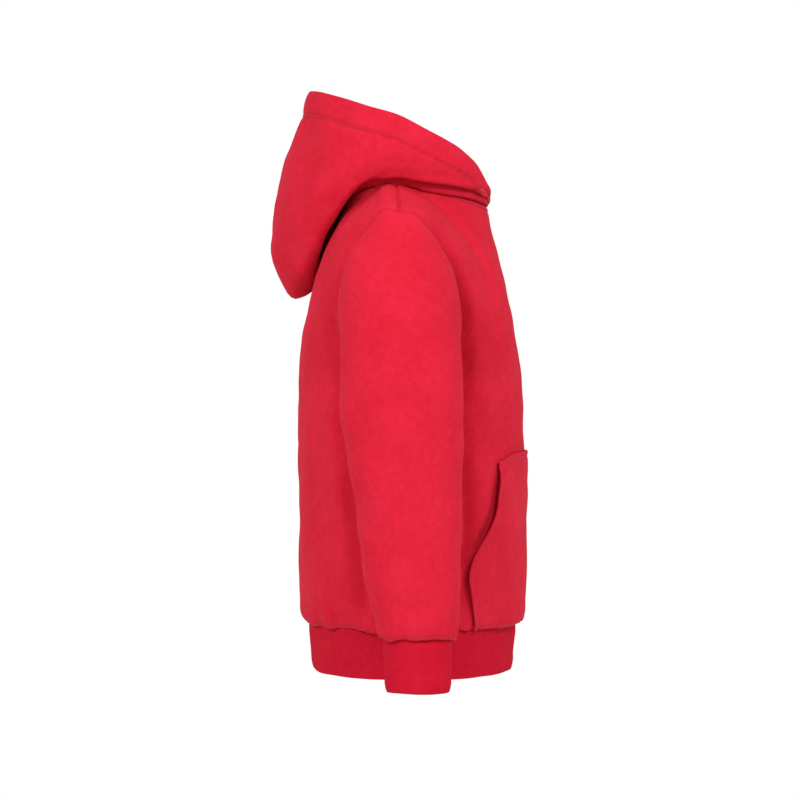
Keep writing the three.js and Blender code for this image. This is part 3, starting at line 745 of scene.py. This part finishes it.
def add_wall(cloth, thickness, edge_round):
    """A mesh of the cloth, with its wall and rounded edges."""
    middle = cloth.points.shape[1] // 2
    across = cloth.across - cloth.across[:, middle : middle + 1]
    piece = add_mesh(cloth.name, cloth.points, across, cloth.up, cloth.closed)
    wall = piece.modifiers.new("wall", "SOLIDIFY")
    wall.thickness, wall.offset = thickness * MM, -1
    rim = piece.modifiers.new("rim", "BEVEL")
    rim.width, rim.segments, rim.limit_method = edge_round * MM, 3, "ANGLE"
    rim.angle_limit = math.radians(55)
    return piece


def add_rib(cloth, thickness):
    """A mesh of both faces of a rib band. Its UV map runs round the band too, so that
    the knitted stitches go on over the fold."""
    points = both_faces(cloth, thickness)
    across = np.repeat(cloth.u[None], len(points), 0)
    return add_mesh(cloth.name, points, across, lengths(points, 0), True)


FLEECE, RIB, POCKET_CLOTH = 1.8, 2.8, 2.0  # mm: how thick each cloth is
walls = {c.name: add_wall(c, FLEECE, 0.7) for c in (front, back, *sleeves, *hoods)}
walls |= {c.name: add_rib(c, RIB) for c in (hem, *cuffs)}
walls["pocket"] = add_wall(pocket, POCKET_CLOTH, 0.8)
print(len(walls), "walls,", sum(len(w.data.vertices) for w in walls.values()), "grid points")

# %% [markdown]
# ## Rows of stitching
#
# A row of topstitching runs beside the neck seam, above the ribs, round the pocket
# and along the hood's turned edge, and one curves down on the back. Each stitch is a
# short thread, and most lie in a groove which they have drawn into the cloth. A
# dashed line could be painted on, but threads catch the light and keep their shape
# close up. There are a lot of them, so each is a ball of 24 faces, drawn out along
# the row.

# %% Lay the threads
STITCH_PITCH, STITCH_LENGTH, THREAD = 3.8, 2.6, 1.0  # mm


def line_on(cloth, field, up_columns, low=None, high=None):
    """Points and normals where a field is zero, on each grid line between two lines of
    the net. The field is followed up the columns, or else along the rows."""
    lines, knots = (cloth.u, cloth.columns) if up_columns else (cloth.v, cloth.rows)
    grids = [field, cloth.points, cloth.normal]
    if not up_columns:
        grids = [g.swapaxes(0, 1) for g in grids]
    field, points, normal = grids
    start = knots[0] if low is None else knots[low]
    end = knots[-1] if high is None else knots[high]
    found = []
    for k in np.flatnonzero((lines >= start - MM) & (lines <= end + MM)):
        crossing = np.flatnonzero(np.diff(np.sign(field[:, k])))
        if len(crossing):
            s = crossing[0]
            t = field[s, k] / (field[s, k] - field[s + 1, k])
            found.append([g[s, k] + t * (g[s + 1, k] - g[s, k]) for g in (points, normal)])
    return np.array(found).swapaxes(0, 1)


def sew_row(bm, points, normals):
    """One row of stitches along a line on the cloth."""
    run = np.concatenate([[0], np.cumsum(np.linalg.norm(np.diff(points, axis=0), axis=1))])
    count = max(int(run[-1] / MM / STITCH_PITCH), 1)
    middles = (np.arange(count) + 0.5) * run[-1] / count

    def at(values, places):
        return np.stack([np.interp(places, run, values[:, k]) for k in range(3)], axis=1)

    half = STITCH_LENGTH / 2 * MM
    heads, tails = at(points, middles + half), at(points, middles - half)
    for head, tail, up in zip(heads, tails, at(normals, middles)):
        along = Vector(head - tail).normalized()
        side = along.cross(Vector(up)).normalized()
        out = side.cross(along)
        turn = Matrix((side, out, along)).transposed().to_4x4()
        shape = Matrix.Diagonal((THREAD / 2 * MM, THREAD * 0.4 * MM, half, 1))
        place = Matrix.Translation(Vector((head + tail) / 2) + out * 0.25 * MM)
        bmesh.ops.create_uvsphere(
            bm, u_segments=6, v_segments=4, radius=1, matrix=place @ turn @ shape
        )
    return count


POCKET_COLUMNS = (5, 17)  # of the front's net: the pocket is between them
# In mm: a half-moon patch is stitched inside the neck, and its stitches show on the
# back. They start this far under the neck seam, and reach this much further down.
PATCH_START, PATCH_DEPTH = 5, 92


def rows_of(cloth):
    """The rows of stitches on a piece, as lines on it."""
    edge = cloth.edge
    if cloth in (front, back):
        yield line_on(cloth, edge["top"] - NECK_STITCH * MM, True, *NECK_COLUMNS)
    if cloth is front:
        low, high = POCKET_COLUMNS
        yield line_on(cloth, edge["bottom"] - HEM_STITCH * MM, True, high=low)
        yield line_on(cloth, edge["bottom"] - HEM_STITCH * MM, True, low=high)
    if cloth is back or cloth in sleeves:
        yield line_on(cloth, edge["bottom"] - HEM_STITCH * MM, True)
    if cloth is back:
        start, end = cloth.columns[list(NECK_COLUMNS)]
        share = np.clip((cloth.u - start) / (end - start), 0, 1)
        drop = PATCH_START + PATCH_DEPTH * np.sin(math.pi * share) ** 0.8
        yield line_on(cloth, edge["top"] - drop * MM, True, *NECK_COLUMNS)
    if cloth in hoods:
        turned = (cloth.v - cloth.rows[BAND_ROW])[:, None]
        yield line_on(cloth, np.repeat(turned, len(cloth.u), 1), True)
    if cloth is pocket:
        yield line_on(cloth, edge["bottom"] - POCKET_HEM_STITCH * MM, True)
        yield line_on(cloth, edge["top"] - POCKET_STITCH * MM, True)
        for side in ("left", "right"):
            yield line_on(cloth, edge[side] - POCKET_STITCH * MM, False)


threads = {}
for cloth in (front, back, *sleeves, *hoods, pocket):
    bm = bmesh.new()
    count = sum(sew_row(bm, *line) for line in rows_of(cloth))
    mesh = bpy.data.meshes.new("thread_" + cloth.name)
    bm.to_mesh(mesh)
    bm.free()
    mesh.shade_smooth()
    threads[cloth.name] = bpy.data.objects.new(mesh.name, mesh)
    bpy.context.scene.collection.objects.link(threads[cloth.name])
    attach(threads[cloth.name], "root")
    print(mesh.name, count, "stitches")

# %% [markdown]
# ## Cloth that looks like cloth
#
# Sweatshirt fleece is a cotton knit whose inner side is brushed. Its face shows fine
# columns of V-shaped stitches about a millimetre apart, with a short fuzz over them.
# The fuzz makes it matt, and lightens it where it is seen at a low angle: that is
# the shader's sheen. The dye never takes quite evenly, so two scales of mottling
# change the red a little.
#
# Patterns that follow the knit read the UV map, which is in metres along the cloth.
# Mottling reads Object coordinates, so that it runs on over the seams.


# %% Colours and nodes
def linear(hex_colour):
    """A colour as the shader needs it, from its sRGB hex value."""
    parts = [int(hex_colour[k : k + 2], 16) / 255 for k in (0, 2, 4)]
    return [p / 12.92 if p <= 0.04045 else ((p + 0.055) / 1.055) ** 2.4 for p in parts] + [1]


def add_node(tree, kind, inputs, **settings):
    """Add a node, give it its settings, and set or link its inputs."""
    node = tree.nodes.new(kind)
    for name, value in settings.items():
        setattr(node, name, value)
    for name, value in inputs.items():
        if isinstance(value, bpy.types.NodeSocket):
            tree.links.new(value, node.inputs[name])
        else:
            node.inputs[name].default_value = value
    return node


# %% Knitted cloth
# Real stitches are about 1.1 by 0.9 mm. They are drawn twice as large here, because
# that is the finest pattern which still shows at the photograph's distance.
KNIT_WALE, KNIT_COURSE = 2.2, 1.8  # mm: width and height of a knitted stitch


def knitted(name, dark, light, sheen, knit_depth, fuzz_depth):
    """A knitted cotton: mottled dye, V-shaped stitches and a short fuzz. Depths in mm."""
    material = bpy.data.materials.new(name)
    material.use_nodes = True
    tree = material.node_tree
    tree.nodes.clear()
    place = add_node(tree, "ShaderNodeTexCoord", {})
    broad = add_node(tree, "ShaderNodeTexNoise", {
        "Vector": place.outputs["Object"], "Scale": 1 / (48 * MM), "Detail": 2, "Roughness": 0.5,
    })
    patchy = add_node(tree, "ShaderNodeTexNoise", {
        "Vector": place.outputs["Object"], "Scale": 1 / (7 * MM), "Detail": 3, "Roughness": 0.6,
    })
    both = add_node(tree, "ShaderNodeMath", {
        0: broad.outputs[0], 1: patchy.outputs[0],
    }, operation="ADD")
    share = add_node(tree, "ShaderNodeMapRange", {
        "Value": both.outputs[0], "From Min": 0.7, "From Max": 1.3, "To Min": 0, "To Max": 1,
    })
    colour = add_node(tree, "ShaderNodeMix", {
        "Factor": share.outputs[0], 6: linear(dark), 7: linear(light),
    }, data_type="RGBA")

    knit = add_node(tree, "ShaderNodeSeparateXYZ", {"Vector": place.outputs["UV"]})
    slant = add_node(tree, "ShaderNodeMath", {
        0: knit.outputs["X"], 1: KNIT_WALE / 2 * MM,
    }, operation="PINGPONG")
    height = add_node(tree, "ShaderNodeMath", {
        0: slant.outputs[0], 1: 1.2, 2: knit.outputs["Y"],
    }, operation="MULTIPLY_ADD")
    turns = add_node(tree, "ShaderNodeMath", {
        0: height.outputs[0], 1: 2 * math.pi / (KNIT_COURSE * MM),
    }, operation="MULTIPLY")
    loops = add_node(tree, "ShaderNodeMath", {0: turns.outputs[0]}, operation="SINE")
    knit_bump = add_node(tree, "ShaderNodeBump", {
        "Height": loops.outputs[0], "Strength": 1, "Distance": knit_depth / 2 * MM,
    })
    fuzz = add_node(tree, "ShaderNodeTexNoise", {
        "Vector": place.outputs["Object"], "Scale": 1 / (1.6 * MM), "Detail": 3, "Roughness": 0.65,
    })
    fuzz_bump = add_node(tree, "ShaderNodeBump", {
        "Height": fuzz.outputs[0], "Strength": 1, "Distance": fuzz_depth * MM,
        "Normal": knit_bump.outputs[0],
    })
    shader = add_node(tree, "ShaderNodeBsdfPrincipled", {
        "Base Color": colour.outputs[2], "Roughness": 0.92, "IOR": 1.45,
        "Specular IOR Level": 0.1,
        "Sheen Weight": sheen, "Sheen Roughness": 0.45, "Sheen Tint": linear("FF9A9A"),
        "Normal": fuzz_bump.outputs[0],
    })
    add_node(tree, "ShaderNodeOutputMaterial", {"Surface": shader.outputs[0]})
    return material


# Sheen, and then the depths of the knit and of the fuzz in mm
fleece_face = knitted("sweatshirt_fleece_face", "BC172B", "C81F37", 0.01, 0.16, 0.22)
fleece_back = knitted("brushed_fleece_back", "BE1C2D", "CA2A3C", 0.15, 0.0, 0.5)
rib_knit = knitted("cotton_rib_knit", "AE0A24", "B8122B", 0.01, 0.12, 0.12)

# %% [markdown]
# The thread is spun polyester in the same red. It is smoother than cotton, so it is
# a little glossier, and its twist shows as a fine mottle with a slight relief.

# %% Sewing thread
thread_red = bpy.data.materials.new("spun_polyester_thread")
thread_red.use_nodes = True
tree = thread_red.node_tree
tree.nodes.clear()
place = add_node(tree, "ShaderNodeTexCoord", {})
twist = add_node(tree, "ShaderNodeTexNoise", {
    "Vector": place.outputs["Object"], "Scale": 1 / (0.4 * MM), "Detail": 1,
})
colour = add_node(tree, "ShaderNodeMix", {
    "Factor": twist.outputs[0], 6: linear("96081C"), 7: linear("B41228"),
}, data_type="RGBA")
relief = add_node(tree, "ShaderNodeBump", {
    "Height": twist.outputs[0], "Strength": 1, "Distance": 0.05 * MM,
})
shader = add_node(tree, "ShaderNodeBsdfPrincipled", {
    "Base Color": colour.outputs[2], "Roughness": 0.55, "Sheen Weight": 0.1,
    "Normal": relief.outputs[0],
})
add_node(tree, "ShaderNodeOutputMaterial", {"Surface": shader.outputs[0]})

# %% [markdown]
# ## What each piece stands for
#
# Each wall takes the place of its CAD node, which stays behind, hidden. It gets its
# materials, and the size that it was cut to is printed. For a tube that is the size
# all round, and for a rib, which is folded double, what shows of it. The cuts were
# measured along the smooth cloth, so they are what a maker would lay flat.

SLEEVE_CUT, HOOD_CUT, CUFF_CUT = (457, 444, 0.109), (380, 355, 0.046), (195, 53, 0.0095)
# piece: (node, slot, held, what it hangs from or lies on, cut). A cut is its width and
# length in mm, and its area in square metres.
PIECES = {
    "front": ("front_body", "fleece", "draped", ["back"], (490, 515, 0.193)),
    "back": ("back_body", "fleece", "draped", ["front"], (436, 498, 0.186)),
    "sleeve_r": ("sleeve_right", "fleece", "hung", ["front", "back"], SLEEVE_CUT),
    "sleeve_l": ("sleeve_left", "fleece", "hung", ["front", "back"], SLEEVE_CUT),
    "cuff_r": ("cuff_right", "rib", "hung", ["sleeve_r"], CUFF_CUT),
    "cuff_l": ("cuff_left", "rib", "hung", ["sleeve_l"], CUFF_CUT),
    "hood_r": ("hood_right", "fleece", "draped", ["front", "back"], HOOD_CUT),
    "hood_l": ("hood_left", "fleece", "draped", ["front", "back"], HOOD_CUT),
    "hem": ("hem_band", "rib", "hung", ["front", "back"], (872, 51, 0.0403)),
    "pocket": ("kangaroo_pocket", "fleece", "laid", ["front"], (327, 191, 0.052)),
}
for name, (node, slot, held, holder, cut) in PIECES.items():
    wall = walls[name]
    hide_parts(node)
    if slot == "fleece":
        wall.data.materials.append(fleece_face)
        wall.data.materials.append(fleece_back)
        wall.modifiers["wall"].material_offset = 1
    else:
        wall.data.materials.append(rib_knit)
    extra = [threads[name]] if name in threads else []
    for thread in extra:
        thread.data.materials.append(thread_red)
    print(f"{name}: cut {cut[0]} x {cut[1]} mm, {cut[2]} m2")

# %% [markdown]
# ## Floor and light
#
# The photograph has a white background and soft light that still draws the sleeve
# clear of the body. The world is white behind the garment and dimmer on the camera's
# side, as in a studio. Two large soft boxes stand high, left and right of the camera.
# The sleeve gets light from both, and shades the cloth next to it from one of them.
# The floor is where the wearer's feet would be, out of the camera's view.

# %% Light the scene
FLOOR_HEIGHT, FLOOR_REACH = -1.03, 1.4  # m
NEAR_WORLD = 0.65  # brightness of the world on the camera's side; behind it is 1
LAMP_PLACE, LAMP_AIM = (-2.2, 1.3, 1.4), (0, 0, -0.2)  # m; the other lamp is at -y
LAMP_SIZE, LAMP_POWER = 0.8, 47  # m and W

bm = bmesh.new()
bmesh.ops.create_grid(bm, x_segments=1, y_segments=1, size=FLOOR_REACH)
bmesh.ops.translate(bm, vec=(0, 0, FLOOR_HEIGHT), verts=bm.verts)
mesh = bpy.data.meshes.new("floor")
bm.to_mesh(mesh)
bm.free()
floor = bpy.data.objects.new("floor", mesh)
bpy.context.scene.collection.objects.link(floor)
floor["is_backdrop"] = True
paint = bpy.data.materials.new("pale_floor_paint")
paint.use_nodes = True
paint.node_tree.nodes["Principled BSDF"].inputs["Base Color"].default_value = linear("F2F2F0")
paint.node_tree.nodes["Principled BSDF"].inputs["Roughness"].default_value = 0.8
floor.data.materials.append(paint)

world = bpy.data.worlds.new("white_studio")
world.use_nodes = True
tree = world.node_tree
place = add_node(tree, "ShaderNodeTexCoord", {})
way = add_node(tree, "ShaderNodeSeparateXYZ", {"Vector": place.outputs["Generated"]})
brightness = add_node(tree, "ShaderNodeMapRange", {
    "Value": way.outputs["X"],
    "From Min": -0.6, "From Max": 0.6, "To Min": NEAR_WORLD, "To Max": 1,
})
tree.nodes["Background"].inputs["Color"].default_value = (1, 1, 1, 1)
tree.links.new(brightness.outputs[0], tree.nodes["Background"].inputs["Strength"])
bpy.context.scene.world = world

for name, side in (("front", -1), ("back", 1)):
    data = bpy.data.lights.new("soft_box_" + name, "AREA")
    data.size, data.energy = LAMP_SIZE, LAMP_POWER
    lamp = bpy.data.objects.new(data.name, data)
    lamp.location = Vector(LAMP_PLACE) * Vector((1, side, 1))
    aim = Vector(LAMP_AIM) - lamp.location
    lamp.rotation_euler = aim.to_track_quat("-Z", "Y").to_euler()
    bpy.context.scene.collection.objects.link(lamp)
bpy.context.scene.view_settings.view_transform = "Standard"

# %% [markdown]
# ## Check the size
#
# Cloth may stand a little proud of the CAD model: how far its box stands out on each
# side is printed. Cloth may stand a little proud of the CAD model, but its box must
# stay nearly the same.

# %% Finish
low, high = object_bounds()
({
    "cad": [list(cad_low), list(cad_high)],
    "visual": [list(low), list(high)],
})
print("stands proud by, mm:", [round((a - b) / MM, 1) for a, b in zip(cad_low, low)],
      [round((b - a) / MM, 1) for a, b in zip(cad_high, high)])
